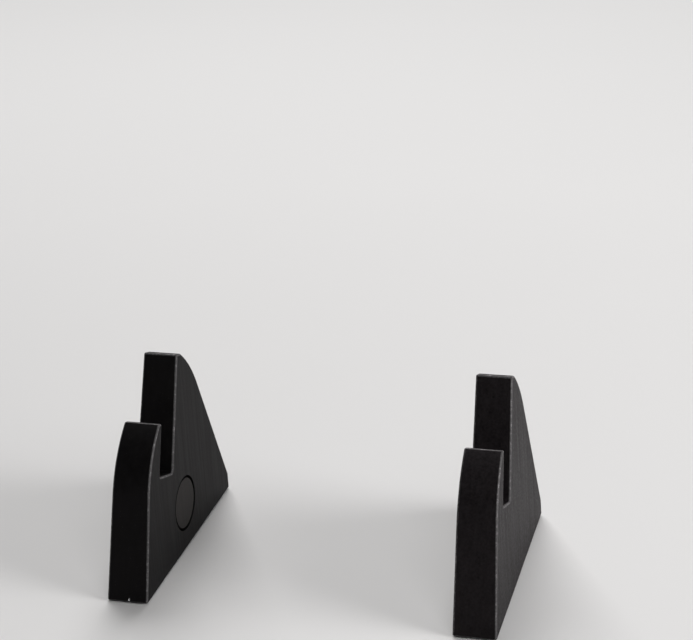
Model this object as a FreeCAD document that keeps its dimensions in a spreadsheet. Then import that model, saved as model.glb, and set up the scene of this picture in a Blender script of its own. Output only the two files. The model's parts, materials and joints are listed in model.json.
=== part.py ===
# Tablet stand: a mirrored pair of loose wedge feet.
#
# Each foot is one solid profile, extruded across its thickness: a leaning front face that bends back into a
# hooked lip, a slot square to the tablet's lean, and a back rest that falls away to a low toe. The inner face
# is upright, so the two feet close flat against each other, and the outer face is drafted. A magnet sits in a
# stepped bore in the inner face, under a cap a hair below that face, and a non-slip strip is let into the
# ground face.
#
# +X runs along the tablet's lower edge, +Y points away from the person who reads, +Z is up. The origin is on
# the table, midway between the feet. Each piece is drawn in its own foot's frame: x is measured from the
# inner face, y from the front edge of the ground face, z from the ground face.
import FreeCAD, Part
import math
import os
import Sketcher
from FreeCAD import Vector

DRIVING_SIZES = [
    ("foot_spacing", 103.0, "between the middles of the two ground faces"),
    ("base_depth", 74.0, "front to back on the table"),
    ("base_thickness", 12.6, "across the ground face"),
    ("outer_draft", 1.9, "degrees that the outer face leans inwards"),
    ("front_lean", 16.5, "degrees that the front face leans back"),
    ("tablet_lean", 19.3, "degrees that the slot leans back"),
    ("slot_root_back", 18.2, "front corner of the slot floor, from the front edge"),
    ("slot_root_height", 32.0, "front corner of the slot floor, from the ground"),
    ("slot_width", 10.5, "square across the slot"),
    ("slot_root_radius", 0.8, "in both corners of the slot"),
    ("lip_height", 47.6, "front edge of the lip's top, from the ground"),
    ("lip_top_width", 1.7, "top of the lip, square to the slot"),
    ("lip_bend_radius", 32.0, "bend of the front face into the lip"),
    ("rest_height", 62.0, "front edge of the back rest's top, from the ground"),
    ("rest_top_width", 3.4, "top of the back rest, square to the slot"),
    ("rest_bend_radius", 40.0, "bend of the rear face into the back rest"),
    ("rest_brow_slope", 39.0, "degrees that the rear face falls where the bend begins"),
    ("toe_height", 5.0, "upright face at the rear end"),
    ("edge_round", 0.6, "radius on the outside edges of a foot"),
    ("ground_edge_round", 0.35, "radius on the crisper edges round the ground face"),
    ("cap_back", 35.6, "middle of the cap, from the front edge"),
    ("cap_up", 14.4, "middle of the cap, from the ground"),
    ("cap_diameter", 16.0, "cap over the magnet"),
    ("cap_thickness", 1.2, "of the cap"),
    ("cap_sink", 0.15, "outer face of the cap below the inner face of the foot"),
    ("cap_gap", 0.5, "open ring round the cap"),
    ("cap_edge_bevel", 0.15, "on the cap's rim"),
    ("magnet_diameter", 12.0, "disc magnet"),
    ("magnet_length", 5.0, "disc magnet"),
    ("magnet_edge_bevel", 0.3, "on both rims of the magnet"),
    ("magnet_clearance", 0.1, "glue gap round the magnet"),
    ("strip_inset", 2.2, "from the ground face's edges to the strip's recess"),
    ("strip_recess", 1.0, "depth of the strip's recess"),
    ("strip_proud", 0.4, "strip below the ground face"),
    ("strip_clearance", 0.15, "round the strip in its recess"),
    ("strip_edge_bevel", 0.15, "on the strip's lower rim"),
]

POINT_TOLERANCE = 0.01

doc = FreeCAD.newDocument("tablet_stand")
sheet = doc.addObject("Spreadsheet::Sheet", "Sizes")
for row, (alias, value, note) in enumerate(DRIVING_SIZES, start=1):
    sheet.set("A%d" % row, alias)
    sheet.set("B%d" % row, str(value))
    sheet.set("C%d" % row, note)
    sheet.setAlias("B%d" % row, alias)
doc.recompute()


def size(alias):
    return float(sheet.get(alias))


# --- sketches and features ---------------------------------------------------------------------------------

def new_body(label, side):
    """A body in the frame of the foot on this side: -1 is the left foot, +1 the right one."""
    body = doc.addObject("PartDesign::Body", label)
    body.Label = label
    body.setExpression("Placement.Base.x", "%d * (Sizes.foot_spacing - Sizes.base_thickness) / 2" % side)
    body.setExpression("Placement.Base.y", "-Sizes.base_depth / 2")
    body.setExpression("Placement.Base.z", "Sizes.strip_proud")
    return body


def new_sketch(body, name, plane):
    sketch = body.newObject("Sketcher::SketchObject", body.Label + "_" + name)
    support = [feature for feature in body.Origin.OriginFeatures if feature.Role == plane]
    sketch.AttachmentSupport = [(support[0], "")]
    sketch.MapMode = "FlatFace"
    return sketch


def new_feature(body, kind, name, sizes, **settings):
    """Add a feature, set what is fixed and bind each size to its formula."""
    base = body.Tip
    feature = body.newObject("PartDesign::" + kind, body.Label + "_" + name)
    for key, value in settings.items():
        setattr(feature, key, value)
    doc.recompute()
    for key, formula in sizes.items():
        feature.setExpression(key, formula)
    doc.recompute()
    if kind in ("Pocket", "Hole") and feature.Shape.Volume >= base.Shape.Volume:
        raise RuntimeError("%s cuts nothing" % feature.Label)
    return feature


def bind(sketch, name, formula, *constraint):
    index = sketch.addConstraint(Sketcher.Constraint(*constraint))
    sketch.renameConstraint(index, name)
    sketch.setExpression("Constraints." + name, formula)


def add_line(sketch, start, end):
    return sketch.addGeometry(Part.LineSegment(start, end))


def add_arc(sketch, centre, start, end):
    """An arc that runs anticlockwise from start to end."""
    radius = (start - centre).Length
    first = math.atan2(start.y - centre.y, start.x - centre.x)
    last = math.atan2(end.y - centre.y, end.x - centre.x)
    circle = Part.Circle(centre, Vector(0, 0, 1), radius)
    return sketch.addGeometry(Part.ArcOfCircle(circle, first, last))


def edges_across(shape, corners):
    """Names of the edges that run along X through the given corners of the side profile."""
    names = []
    for number, edge in enumerate(shape.Edges, start=1):
        ends = [Vector(vertex.Point.y, vertex.Point.z, 0) for vertex in edge.Vertexes]
        if any(all((end - corner).Length < POINT_TOLERANCE for end in ends) for corner in corners):
            names.append("Edge%d" % number)
    return names


def edges_at_height(shape, height):
    """Names of the edges that lie flat at one height."""
    return ["Edge%d" % number for number, edge in enumerate(shape.Edges, start=1)
            if all(abs(vertex.Point.z - height) < POINT_TOLERANCE for vertex in edge.Vertexes)]


def side_faces(shape):
    """Numbers of the two flat sides of a foot, the inner one first."""
    sides = []
    for number, face in enumerate(shape.Faces, start=1):
        normal = face.normalAt(0, 0)
        if isinstance(face.Surface, Part.Plane) and abs(normal.x) > abs(normal.y) + abs(normal.z):
            sides.append(number)
    inner, outer = sorted(sides, key=lambda number: abs(shape.Faces[number - 1].CenterOfMass.x))
    return inner, outer


# --- the side profile --------------------------------------------------------------------------------------

def profile_points():
    """Corners, arc ends and arc centres of the side profile, worked out from the driving sizes."""
    lean = math.radians(size("tablet_lean"))
    front = math.radians(size("front_lean"))
    brow = math.radians(size("rest_brow_slope"))
    up_slot = Vector(math.sin(lean), math.cos(lean), 0)
    across_slot = Vector(math.cos(lean), -math.sin(lean), 0)
    up_front = Vector(math.sin(front), math.cos(front), 0)
    into_front = Vector(math.cos(front), -math.sin(front), 0)

    points = {"front_edge": Vector(0, 0, 0), "rear_edge": Vector(size("base_depth"), 0, 0)}
    points["toe_top"] = Vector(size("base_depth"), size("toe_height"), 0)

    lip_root = Vector(size("slot_root_back"), size("slot_root_height"), 0)
    lip_back_height = size("lip_height") - size("lip_top_width") * math.sin(lean)
    lip_back = lip_root + up_slot * ((lip_back_height - lip_root.y) / math.cos(lean))
    lip_front = lip_back - across_slot * size("lip_top_width")
    points.update(lip_root=lip_root, lip_back=lip_back, lip_front=lip_front)

    # the bend touches the front face and ends at the front of the lip's top
    radius = size("lip_bend_radius")
    inset = lip_front.dot(into_front)
    bend_start = up_front * (lip_front.dot(up_front) - math.sqrt(inset * (2 * radius - inset)))
    points.update(bend_start=bend_start, bend_centre=bend_start + into_front * radius)

    rest_root = lip_root + across_slot * size("slot_width")
    rest_front = rest_root + up_slot * ((size("rest_height") - rest_root.y) / math.cos(lean))
    rest_back = rest_front + across_slot * size("rest_top_width")
    points.update(rest_root=rest_root, rest_front=rest_front, rest_back=rest_back)

    # the rear face is the tangent from the toe to the circle of the rear bend
    radius = size("rest_bend_radius")
    centre = rest_back - Vector(math.sin(brow), math.cos(brow), 0) * radius
    to_toe = points["toe_top"] - centre
    turn = math.atan2(to_toe.y, to_toe.x) + math.acos(radius / to_toe.Length)
    points.update(brow_centre=centre, brow_end=centre + Vector(math.cos(turn), math.sin(turn), 0) * radius)
    return points


def draw_profile(sketch, at):
    ground = add_line(sketch, at["front_edge"], at["rear_edge"])
    toe = add_line(sketch, at["rear_edge"], at["toe_top"])
    rear = add_line(sketch, at["toe_top"], at["brow_end"])
    brow = add_arc(sketch, at["brow_centre"], at["brow_end"], at["rest_back"])
    rest_top = add_line(sketch, at["rest_back"], at["rest_front"])
    rest_face = add_line(sketch, at["rest_front"], at["rest_root"])
    slot_floor = add_line(sketch, at["rest_root"], at["lip_root"])
    lip_face = add_line(sketch, at["lip_root"], at["lip_back"])
    lip_top = add_line(sketch, at["lip_back"], at["lip_front"])
    bend = add_arc(sketch, at["bend_centre"], at["lip_front"], at["bend_start"])
    front = add_line(sketch, at["bend_start"], at["front_edge"])

    corners = [(rest_top, 2, rest_face, 1), (rest_face, 2, slot_floor, 1), (slot_floor, 2, lip_face, 1),
               (lip_face, 2, lip_top, 1), (lip_top, 2, bend, 1), (front, 2, ground, 1),
               (ground, 2, toe, 1), (toe, 2, rear, 1), (brow, 2, rest_top, 1)]
    for joint in corners:
        sketch.addConstraint(Sketcher.Constraint("Coincident", *joint))
    sketch.addConstraint(Sketcher.Constraint("Tangent", rear, 2, brow, 1))
    sketch.addConstraint(Sketcher.Constraint("Tangent", bend, 2, front, 1))
    sketch.addConstraint(Sketcher.Constraint("Coincident", ground, 1, -1, 1))
    sketch.addConstraint(Sketcher.Constraint("Horizontal", ground))
    sketch.addConstraint(Sketcher.Constraint("Vertical", toe))
    sketch.addConstraint(Sketcher.Constraint("Parallel", rest_face, lip_face))
    for square in (slot_floor, lip_top, rest_top):
        sketch.addConstraint(Sketcher.Constraint("Perpendicular", square, lip_face))

    bind(sketch, "base_depth", "Sizes.base_depth", "Distance", ground, at["rear_edge"].x)
    bind(sketch, "toe_height", "Sizes.toe_height", "Distance", toe, at["toe_top"].y)
    bind(sketch, "front_lean", "(90 - Sizes.front_lean) * 1 deg", "Angle", ground, 1, front, 2,
         math.radians(90 - size("front_lean")))
    bind(sketch, "bend_radius", "Sizes.lip_bend_radius", "Radius", bend, size("lip_bend_radius"))
    bind(sketch, "lip_top_width", "Sizes.lip_top_width", "Distance", lip_top, size("lip_top_width"))
    bind(sketch, "lip_height", "Sizes.lip_height", "DistanceY", -1, 1, bend, 1, size("lip_height"))
    bind(sketch, "root_back", "Sizes.slot_root_back", "DistanceX", -1, 1, lip_face, 1, at["lip_root"].x)
    bind(sketch, "root_height", "Sizes.slot_root_height", "DistanceY", -1, 1, lip_face, 1, at["lip_root"].y)
    bind(sketch, "tablet_lean", "(90 - Sizes.tablet_lean) * 1 deg", "Angle", lip_face,
         math.radians(90 - size("tablet_lean")))
    bind(sketch, "slot_width", "Sizes.slot_width", "Distance", slot_floor, size("slot_width"))
    bind(sketch, "rest_height", "Sizes.rest_height", "DistanceY", -1, 1, rest_face, 1, size("rest_height"))
    bind(sketch, "rest_top_width", "Sizes.rest_top_width", "Distance", rest_top, size("rest_top_width"))
    brow_arm = at["rest_back"] - at["brow_centre"]
    bind(sketch, "brow_arm_back", "Sizes.rest_bend_radius * sin(Sizes.rest_brow_slope * 1 deg)",
         "DistanceX", brow, 3, brow, 2, brow_arm.x)
    bind(sketch, "brow_arm_up", "Sizes.rest_bend_radius * cos(Sizes.rest_brow_slope * 1 deg)",
         "DistanceY", brow, 3, brow, 2, brow_arm.y)


# --- the pieces of one foot --------------------------------------------------------------------------------

def make_foot(name, side):
    body = new_body(name + "_foot", side)
    profile = new_sketch(body, "profile", "YZ_Plane")
    at = profile_points()
    draw_profile(profile, at)
    blank = new_feature(body, "Pad", "blank", {"Length": "Sizes.base_thickness"},
                        Profile=profile, Reversed=side < 0)

    ground = [plane for plane in body.Origin.OriginFeatures if plane.Role == "XY_Plane"][0]
    outer_face = side_faces(blank.Shape)[1]
    drafted = new_feature(body, "Draft", "drafted_side", {"Angle": "Sizes.outer_draft"},
                          Base=(blank, ["Face%d" % outer_face]), NeutralPlane=(ground, [""]))
    slot_corners = edges_across(drafted.Shape, [at["lip_root"], at["rest_root"]])
    slotted = new_feature(body, "Fillet", "slot_corners", {"Radius": "Sizes.slot_root_radius"},
                          Base=(drafted, slot_corners))

    outside = ("toe_top", "rest_back", "rest_front", "lip_back", "lip_front")
    rims = [rim for number in side_faces(slotted.Shape) for rim in slotted.Shape.Faces[number - 1].Edges]
    rim_names = ["Edge%d" % number for number, edge in enumerate(slotted.Shape.Edges, start=1)
                 if any(edge.isSame(rim) for rim in rims)]
    edges = edges_across(slotted.Shape, [at[corner] for corner in outside])
    edges += [name for name in rim_names if name not in edges_at_height(slotted.Shape, 0)]
    rounded = new_feature(body, "Fillet", "edge_rounds", {"Radius": "Sizes.edge_round"},
                          Base=(slotted, edges))
    new_feature(body, "Fillet", "ground_edges", {"Radius": "Sizes.ground_edge_round"},
                Base=(rounded, edges_at_height(rounded.Shape, 0)))

    recess_outline = new_sketch(body, "recess_outline", "XY_Plane")
    draw_strip_outline(recess_outline, side, "0")
    new_feature(body, "Pocket", "strip_recess", {"Length": "Sizes.strip_recess"},
                Profile=recess_outline, Reversed=True)

    bore_centre = new_sketch(body, "bore_centre", "YZ_Plane")
    draw_circle(bore_centre, "Sizes.cap_diameter / 2")
    doc.recompute()
    new_feature(body, "Hole", "magnet_bore",
                {"Diameter": "Sizes.magnet_diameter + 2 * Sizes.magnet_clearance",
                 "Depth": "Sizes.cap_sink + Sizes.cap_thickness + Sizes.magnet_length",
                 "HoleCutDiameter": "Sizes.cap_diameter + 2 * Sizes.cap_gap",
                 "HoleCutDepth": "Sizes.cap_sink + Sizes.cap_thickness"},
                Profile=bore_centre, ThreadType="None", HoleCutType="Counterbore", HoleCutCustomValues=True,
                DepthType="Dimension", DrillPoint="Flat", Reversed=side > 0)
    return body


def draw_circle(sketch, radius_formula):
    """A circle on the magnet's axis."""
    centre = Vector(size("cap_back"), size("cap_up"), 0)
    circle = sketch.addGeometry(Part.Circle(centre, Vector(0, 0, 1), size("cap_diameter") / 2))
    bind(sketch, "back", "Sizes.cap_back", "DistanceX", -1, 1, circle, 3, centre.x)
    bind(sketch, "up", "Sizes.cap_up", "DistanceY", -1, 1, circle, 3, centre.y)
    bind(sketch, "radius", radius_formula, "Radius", circle, size("cap_diameter") / 2)


def draw_strip_outline(sketch, side, gap_formula):
    """A strip with round ends along the middle of the ground face, inset from its edges and by a gap."""
    middle = side * size("base_thickness") / 2
    radius = size("base_thickness") / 2 - size("strip_inset")
    first = size("strip_inset") + radius
    last = size("base_depth") - first
    near = Vector(middle, first, 0)
    far = Vector(middle, last, 0)
    reach = Vector(radius, 0, 0)
    near_end = add_arc(sketch, near, near - reach, near + reach)
    right = add_line(sketch, near + reach, far + reach)
    far_end = add_arc(sketch, far, far + reach, far - reach)
    left = add_line(sketch, far - reach, near - reach)
    outline = [near_end, right, far_end, left]
    for before, after in zip(outline, outline[1:] + outline[:1]):
        sketch.addConstraint(Sketcher.Constraint("Tangent", before, 2, after, 1))
    sketch.addConstraint(Sketcher.Constraint("Vertical", right))
    sketch.addConstraint(Sketcher.Constraint("Vertical", left))
    bind(sketch, "radius", "Sizes.base_thickness / 2 - Sizes.strip_inset - %s" % gap_formula,
         "Radius", near_end, radius)
    bind(sketch, "middle", "%d * Sizes.base_thickness / 2" % side, "DistanceX", -1, 1, near_end, 3, middle)
    bind(sketch, "near", "Sizes.base_thickness / 2", "DistanceY", -1, 1, near_end, 3, first)
    bind(sketch, "far", "Sizes.base_depth - Sizes.base_thickness / 2", "DistanceY", -1, 1, far_end, 3, last)


def make_disc(label, side, radius_formula, length_formula, start_formula):
    """A round disc on the magnet's axis that starts behind the inner face."""
    body = new_body(label, side)
    outline = new_sketch(body, "outline", "YZ_Plane")
    outline.setExpression("AttachmentOffset.Base.z", "%d * (%s)" % (side, start_formula))
    draw_circle(outline, radius_formula)
    disc = new_feature(body, "Pad", "disc", {"Length": length_formula}, Profile=outline, Reversed=side < 0)
    return body, disc


def rim_edges(shape, near_x):
    """Names of the circular edges at one distance from the inner face."""
    return ["Edge%d" % number for number, edge in enumerate(shape.Edges, start=1)
            if isinstance(edge.Curve, Part.Circle) and abs(edge.Curve.Center.x - near_x) < POINT_TOLERANCE]


def make_cap(name, side):
    body, disc = make_disc(name + "_magnet_cap", side, "Sizes.cap_diameter / 2", "Sizes.cap_thickness",
                           "Sizes.cap_sink")
    new_feature(body, "Chamfer", "rim", {"Size": "Sizes.cap_edge_bevel"},
                Base=(disc, rim_edges(disc.Shape, side * size("cap_sink"))))
    return body


def make_magnet(name, side):
    body, disc = make_disc(name + "_magnet", side, "Sizes.magnet_diameter / 2", "Sizes.magnet_length",
                           "Sizes.cap_sink + Sizes.cap_thickness")
    shallow = side * (size("cap_sink") + size("cap_thickness"))
    deep = shallow + side * size("magnet_length")
    rims = rim_edges(disc.Shape, shallow) + rim_edges(disc.Shape, deep)
    new_feature(body, "Chamfer", "rims", {"Size": "Sizes.magnet_edge_bevel"}, Base=(disc, rims))
    return body


def make_strip(name, side):
    body = new_body(name + "_base_pad", side)
    outline = new_sketch(body, "outline", "XY_Plane")
    outline.setExpression("AttachmentOffset.Base.z", "-Sizes.strip_proud")
    draw_strip_outline(outline, side, "Sizes.strip_clearance")
    strip = new_feature(body, "Pad", "strip", {"Length": "Sizes.strip_recess + Sizes.strip_proud"},
                        Profile=outline)
    new_feature(body, "Chamfer", "lower_rim", {"Size": "Sizes.strip_edge_bevel"},
                Base=(strip, edges_at_height(strip.Shape, -size("strip_proud"))))
    return body


# --- build, check and write --------------------------------------------------------------------------------

pieces = []
for foot_name, foot_side in (("left", -1), ("right", 1)):
    pieces.append(make_foot(foot_name, foot_side))
    pieces.append(make_cap(foot_name, foot_side))
    pieces.append(make_magnet(foot_name, foot_side))
    pieces.append(make_strip(foot_name, foot_side))
doc.recompute()

for item in doc.Objects:
    if "Invalid" in item.State or "Error" in item.State:
        raise RuntimeError("%s failed to build: %s" % (item.Label, item.State))
for sketch in doc.findObjects("Sketcher::SketchObject"):
    if sketch.solve() != 0 or not sketch.FullyConstrained:
        raise RuntimeError("%s isn't fully constrained" % sketch.Label)

os.makedirs("parts", exist_ok=True)
for piece in pieces:
    if piece.Shape.isNull() or not piece.Shape.isValid() or len(piece.Shape.Solids) != 1:
        raise RuntimeError("%s isn't one valid solid" % piece.Label)
    piece.Shape.exportStep("parts/%s.step" % piece.Label)
    box = piece.Shape.BoundBox
    print("%-18s volume %9.1f  x %7.2f %7.2f  y %7.2f %7.2f  z %6.2f %6.2f" % (
        piece.Label, piece.Shape.Volume, box.XMin, box.XMax, box.YMin, box.YMax, box.ZMin, box.ZMax))
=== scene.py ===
"""Looks of a tablet stand: a mirrored pair of loose black wedge feet.

Each foot is a solid wedge with a hooked lip, a slot square to the tablet's lean and a back rest that falls
away to a low toe. A cap sits in the inner face over a magnet, and a ribbed strip is let into the ground face.
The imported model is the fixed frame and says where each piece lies. The pieces here stand in its place with
rounder edges, finer facets and their finishes.

+X runs along the tablet's lower edge, +Y points away from the person who reads, +Z is up. All is in metres.
"""

import json
import logging
import math
from collections.abc import Callable
from dataclasses import dataclass
from enum import Enum, IntEnum

import bmesh
import bpy
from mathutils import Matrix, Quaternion, Vector

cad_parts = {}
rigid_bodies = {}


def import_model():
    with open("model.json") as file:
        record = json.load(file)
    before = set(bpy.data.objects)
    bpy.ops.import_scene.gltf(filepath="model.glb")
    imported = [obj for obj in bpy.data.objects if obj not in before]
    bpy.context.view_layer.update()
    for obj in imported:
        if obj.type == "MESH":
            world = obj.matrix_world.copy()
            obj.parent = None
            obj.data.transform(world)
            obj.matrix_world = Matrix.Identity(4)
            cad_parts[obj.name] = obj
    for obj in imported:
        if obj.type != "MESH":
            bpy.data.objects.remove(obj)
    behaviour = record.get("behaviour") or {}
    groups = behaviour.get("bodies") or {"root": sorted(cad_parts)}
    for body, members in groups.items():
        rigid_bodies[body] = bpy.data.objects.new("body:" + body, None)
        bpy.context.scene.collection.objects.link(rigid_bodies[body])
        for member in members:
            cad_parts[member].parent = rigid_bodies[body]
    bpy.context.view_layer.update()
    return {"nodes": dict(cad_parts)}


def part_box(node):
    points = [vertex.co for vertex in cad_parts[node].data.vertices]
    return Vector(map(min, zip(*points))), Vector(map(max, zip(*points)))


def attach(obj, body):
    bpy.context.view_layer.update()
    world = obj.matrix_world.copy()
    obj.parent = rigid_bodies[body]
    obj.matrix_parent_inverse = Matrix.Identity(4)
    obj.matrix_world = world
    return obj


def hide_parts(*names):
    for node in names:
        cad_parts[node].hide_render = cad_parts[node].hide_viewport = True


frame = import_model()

MM = 0.001
# marks the rounded edges, which the coat both rubs and lightens as a painted highlight
WEAR_AND_HIGHLIGHT_ATTRIBUTE = "edge_wear"
BEVEL_WEIGHT = "bevel_weight_edge"
FLOAT, VECTOR = "NodeSocketFloat", "NodeSocketVector"

# what still counts as one place, as lying on a plane, on a circle or on the draft's cut, and as a sharp edge
SAME_PLACE = 0.001 * MM
ON_PLANE = 0.01 * MM
ON_CIRCLE = 0.02 * MM
DRAFT_WELD = 0.0001 * MM
SHARP_TURN = math.radians(60)
# a facet of a rounded edge is smaller than this, and turns at least this share of the round's step
ROUND_FACET_AREA = 12 * MM * MM
ROUND_FACET_SHARE = 0.75
# how far a cutter, or a solid before its cut, reaches past the cut
SPARE = 1.0 * MM

RING_CORNERS = 128
BORE_CORNERS = 96
STADIUM_FACET = math.radians(6)
ALONG_X = Vector((1.0, 0.0, 0.0))
ALONG_Z = Vector((0.0, 0.0, 1.0))

Colour = tuple[float, float, float]
Span = tuple[float, float]
# a stretch of an outline: its end, its arc's centre or None where it is straight, and its facet's turn
Stretch = tuple[Vector, Vector | None, float]

log = logging.getLogger("tablet_stand")


class Side(Enum):
    """Which foot of the pair, with the sign of its X."""

    LEFT = -1
    RIGHT = 1

    def named(self, word: str) -> str:
        """The name of this foot's piece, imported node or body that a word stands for."""
        return f"{self.name.lower()}_{word}"

    def ends(self, word: str) -> Span:
        """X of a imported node's inner end, towards the other foot, and of its outer end."""
        low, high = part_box(self.named(word))
        return (high.x, low.x) if self is Side.LEFT else (low.x, high.x)

    def disc(self, word: str) -> tuple[Vector, float]:
        """The middle and the radius of a packed round node that lies across X."""
        low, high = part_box(self.named(word))
        return (low + high) / 2, (high.z - low.z) / 2


class Layer(IntEnum):
    """What shows on a coated piece, numbered as its material slots are."""

    COAT = 0
    # the near-black painted shade in the ring round the cap
    SEAM = 1
    METAL = 2


# --- modelling by hand --------------------------------------------------------


def select_only(piece: bpy.types.Object) -> None:
    """Make one object the selected and active one.

    Args:
        piece: The object that the next operators work on.
    """
    for other in bpy.context.view_layer.objects:
        other.select_set(False)
    piece.select_set(True)
    bpy.context.view_layer.objects.active = piece


def edit(piece: bpy.types.Object, mode: str) -> bmesh.types.BMesh:
    """Enter edit mode on a piece with nothing selected.

    Args:
        piece: The object to edit.
        mode: What is selected by click: VERT, EDGE or FACE.

    Returns:
        The mesh under edit, to select from.
    """
    select_only(piece)
    bpy.ops.object.mode_set(mode="EDIT")
    bpy.ops.mesh.select_mode(type=mode)
    bpy.ops.mesh.select_all(action="DESELECT")
    return bmesh.from_edit_mesh(piece.data)


def leave_edit() -> None:
    """Go back to object mode."""
    bpy.ops.object.mode_set(mode="OBJECT")


def settle(piece: bpy.types.Object) -> None:
    """Put a piece's place, turn and scale into its mesh."""
    select_only(piece)
    bpy.ops.object.transform_apply(location=True, rotation=True, scale=True)


def apply_modifier(piece: bpy.types.Object, kind: str, **settings: object) -> None:
    """Add a modifier to a piece and apply it at once.

    Args:
        piece: The object to change.
        kind: The modifier's type, such as BOOLEAN.
        settings: The modifier's own settings.
    """
    select_only(piece)
    modifier = piece.modifiers.new(kind.lower(), kind)
    for name, value in settings.items():
        setattr(modifier, name, value)
    bpy.ops.object.modifier_apply(modifier=modifier.name)


def cut(piece: bpy.types.Object, cutter: bpy.types.Object) -> None:
    """Take a cutter's shape out of a piece and delete the cutter."""
    apply_modifier(piece, "BOOLEAN", operation="DIFFERENCE", solver="EXACT", object=cutter)
    bpy.data.objects.remove(cutter)


def lies_at(edge: bmesh.types.BMEdge, axis: int, level: float) -> bool:
    """Whether an edge lies in the plane at a level along an axis, 0 for X, 1 for Y and 2 for Z."""
    return all(abs(vertex.co[axis] - level) < ON_PLANE for vertex in edge.verts)


def round_rim(piece: bpy.types.Object, chosen: Callable[[bmesh.types.BMEdge], bool], radius: float,
              steps: int) -> None:
    """Round some edges of a piece.

    Args:
        piece: The piece to round.
        chosen: Tells for each edge whether it is rounded.
        radius: The round's radius, for edges between faces square to each other.
        steps: How many facets the round has.
    """
    mesh = edit(piece, "EDGE")
    for edge in mesh.edges:
        edge.select_set(chosen(edge))
    bpy.ops.mesh.bevel(offset=radius, segments=steps, affect="EDGES")
    leave_edit()


def smooth(piece: bpy.types.Object, crease: float = math.radians(32)) -> None:
    """Shade a piece smooth over its rounds and flat on its flats.

    Args:
        piece: The object to shade.
        crease: The turn between two facets above which the edge stays sharp.
    """
    select_only(piece)
    bpy.ops.object.shade_smooth_by_angle(angle=crease)
    apply_modifier(piece, "WEIGHTED_NORMAL", mode="FACE_AREA", weight=100, keep_sharp=True)


class Outline:
    """A closed outline drawn by extruding one vertex, then filled with a face."""

    def __init__(self, name: str, start: Vector, axis: Vector) -> None:
        """Set down the first point.

        Args:
            name: The name of the piece that the outline becomes.
            start: The first point.
            axis: The direction square to the outline's plane.
        """
        bpy.ops.mesh.primitive_plane_add(size=MM, location=start)
        self.piece = bpy.context.object
        self.piece.name = name
        self.axis = axis
        self.at = start.copy()
        settle(self.piece)
        edit(self.piece, "VERT")
        bpy.ops.mesh.select_all(action="SELECT")
        bpy.ops.mesh.merge(type="CENTER")

    def line_to(self, end: Vector) -> None:
        """Draw a straight run to a point."""
        bpy.ops.mesh.extrude_region_move(TRANSFORM_OT_translate={"value": end - self.at})
        self.at = end.copy()

    def arc_to(self, end: Vector, centre: Vector, facet: float) -> None:
        """Draw an arc of less than half a circle to a point.

        Args:
            end: Where the arc ends.
            centre: The arc's centre.
            facet: The most that the arc turns between two vertices.
        """
        first, last = self.at - centre, end - centre
        turn = math.atan2(self.axis.dot(first.cross(last)), first.dot(last))
        steps = max(2, math.ceil(abs(turn) / facet))
        bpy.ops.mesh.spin(steps=steps, angle=-turn, center=centre, axis=self.axis)
        self.at = end.copy()

    def close(self, depth: float) -> bpy.types.Object:
        """Close the outline, fill it and extrude it into a solid.

        Args:
            depth: How far the solid reaches along the outline's axis, with its sign.

        Returns:
            The solid, in object mode.
        """
        bpy.ops.mesh.select_all(action="SELECT")
        bpy.ops.mesh.remove_doubles(threshold=SAME_PLACE)
        bpy.ops.mesh.edge_face_add()
        bpy.ops.mesh.extrude_region_move(TRANSFORM_OT_translate={"value": self.axis * depth})
        bpy.ops.mesh.select_all(action="SELECT")
        bpy.ops.mesh.normals_make_consistent(inside=False)
        leave_edit()
        return self.piece


def cylinder(name: str, radius: float, start: Vector, depth: float, corners: int) -> bpy.types.Object:
    """A cylinder along X.

    Args:
        name: The object's name.
        radius: Its radius.
        start: The middle of its first end.
        depth: How far it reaches along X, with its sign.
        corners: How many corners its ends have.

    Returns:
        The cylinder, with its place in its mesh.
    """
    bpy.ops.mesh.primitive_cylinder_add(
        vertices=corners, radius=radius, depth=abs(depth), location=start + ALONG_X * (depth / 2),
        rotation=(0.0, math.pi / 2, 0.0))
    piece = bpy.context.object
    piece.name = name
    settle(piece)
    return piece


def stadium(name: str, middle: Vector, radius: float, half_run: float, depth: float) -> bpy.types.Object:
    """An upright solid with straight sides along Y and round ends.

    Args:
        name: The object's name.
        middle: The middle of its lower face.
        radius: The radius of its ends.
        half_run: Half the length of its straight sides.
        depth: How far it reaches up.

    Returns:
        The solid.
    """
    near, far = middle - Vector((0.0, half_run, 0.0)), middle + Vector((0.0, half_run, 0.0))
    across, along = Vector((radius, 0.0, 0.0)), Vector((0.0, radius, 0.0))
    outline = Outline(name, near + across, ALONG_Z)
    outline.line_to(far + across)
    outline.arc_to(far + along, far, STADIUM_FACET)
    outline.arc_to(far - across, far, STADIUM_FACET)
    outline.line_to(near - across)
    outline.arc_to(near - along, near, STADIUM_FACET)
    outline.arc_to(near + across, near, STADIUM_FACET)
    return outline.close(depth)


def mark_wear_and_highlight(piece: bpy.types.Object, facet: float) -> None:
    """Write which vertices lie inside a rounded edge, for the finish to read as wear and as a painted
    highlight.

    Args:
        piece: The piece to mark.
        facet: The turn between two facets of its rounds.
    """
    mesh = piece.data
    attribute = mesh.attributes.new(WEAR_AND_HIGHLIGHT_ATTRIBUTE, "FLOAT", "POINT")
    work = bmesh.new()
    work.from_mesh(mesh)
    work.normal_update()
    for vertex in work.verts:
        turn = max((edge.calc_face_angle(0.0) for edge in vertex.link_edges if edge.is_convex), default=0.0)
        narrow = all(face.calc_area() < ROUND_FACET_AREA for face in vertex.link_faces)
        attribute.data[vertex.index].value = float(narrow and turn > ROUND_FACET_SHARE * facet)
    work.free()


# --- shared effects -----------------------------------------------------------


def opaque(colour: object) -> object:
    """Give a written colour its fourth number, and leave a socket as it is."""
    return (*colour, 1.0) if isinstance(colour, tuple) else colour


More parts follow.
